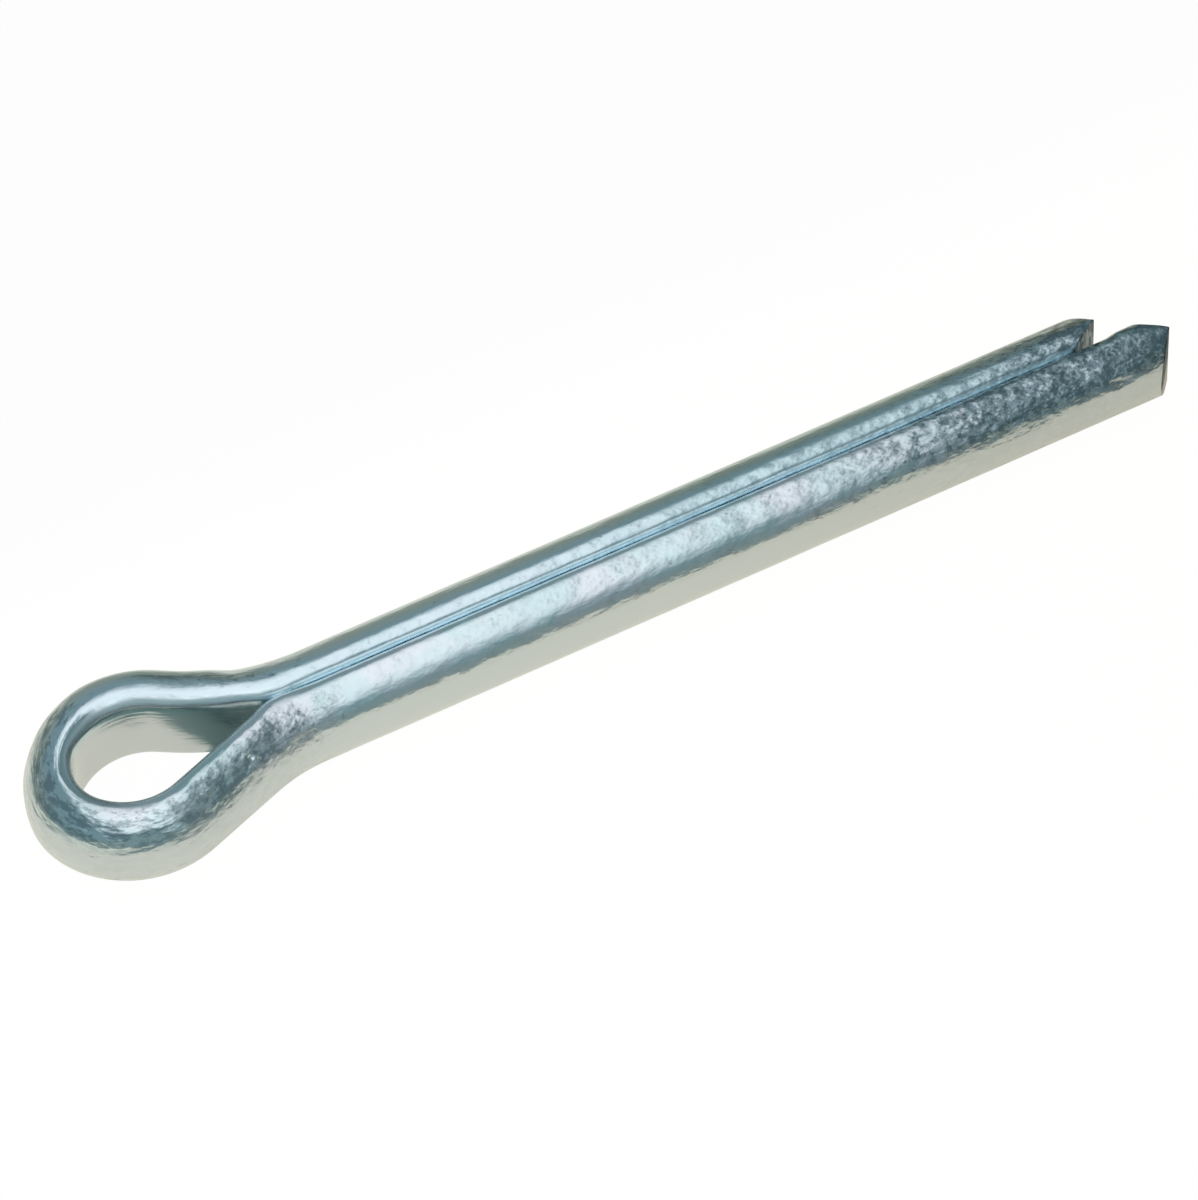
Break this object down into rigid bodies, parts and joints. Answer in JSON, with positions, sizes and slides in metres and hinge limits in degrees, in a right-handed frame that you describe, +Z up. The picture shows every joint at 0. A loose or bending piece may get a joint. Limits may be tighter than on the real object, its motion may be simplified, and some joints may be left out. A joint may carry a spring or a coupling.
{
  "type": "cotter pin",
  "caption": "Cotter pin of half-round wire folded into an eye and two straight legs with sheared tips, for locking a nut or pin through a cross hole.",
  "frame": {"origin": "on the shank's axis, midway between the flats of the two legs, where the legs close under the eye", "axes": "+X along the shank to the tips, +Y to the side of the short leg, +Z up, square to the plane of the eye"},
  "size_m": [0.1072, 0.018, 0.0092],
  "materials": {
    "zinc_plated_steel": "bright zinc plate with a faint blue passivation, smooth and glossy round the eye, duller and mottled toward the tips"
  },
  "bodies": {
    "root": {"cotter_pin": "zinc_plated_steel"}
  },
  "joints": []
}
